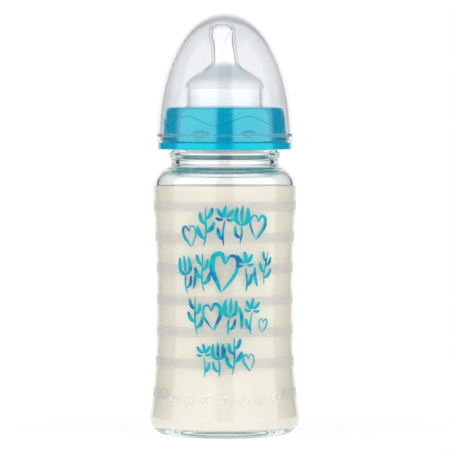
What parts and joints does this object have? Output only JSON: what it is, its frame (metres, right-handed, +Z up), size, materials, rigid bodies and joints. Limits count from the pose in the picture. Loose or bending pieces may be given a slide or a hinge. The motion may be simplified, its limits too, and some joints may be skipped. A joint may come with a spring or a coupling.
{
  "type": "baby bottle",
  "caption": "Waisted glass baby bottle of milk, with a wide screw ring on a real helical thread, a silicone teat with a leaning nipple, and a clear push-fit dome cap over it.",
  "frame": {"origin": "centre of the foot ring, on the table that the bottle stands on", "axes": "+Z up along the bottle's axis; the printed front faces -Y"},
  "size_m": [0.067, 0.067, 0.1895],
  "materials": {
    "clear_glass": "clear, glossy",
    "milk": "liquid",
    "silicone": "clear, satin",
    "teal_plastic": "glossy",
    "clear_plastic": "clear, glossy"
  },
  "bodies": {
    "bottle": {"glass_bottle": "clear_glass", "milk": "milk"},
    "teat": {"teat": "silicone"},
    "ring": {"screw_ring": "teal_plastic"},
    "cap": {"dome_cap": "clear_plastic"}
  },
  "joints": [
    {"name": "ring_lift", "type": "slide", "parent": "bottle", "child": "teat", "axis": [0, 0, 1], "range_m": [0, 0.017]},
    {"name": "ring_turn", "type": "hinge", "parent": "teat", "child": "ring", "pos_m": [0, 0, 0.136], "axis": [0, 0, 1], "range_deg": [0, 1170]},
    {"name": "cap_pull", "type": "slide", "parent": "ring", "child": "cap", "axis": [0, 0, 1], "range_m": [0, 0.065]}
  ],
  "couplings": [
    {"joint": "ring_lift", "follows": "ring_turn", "m_per_rad": 0.00079577}
  ]
}
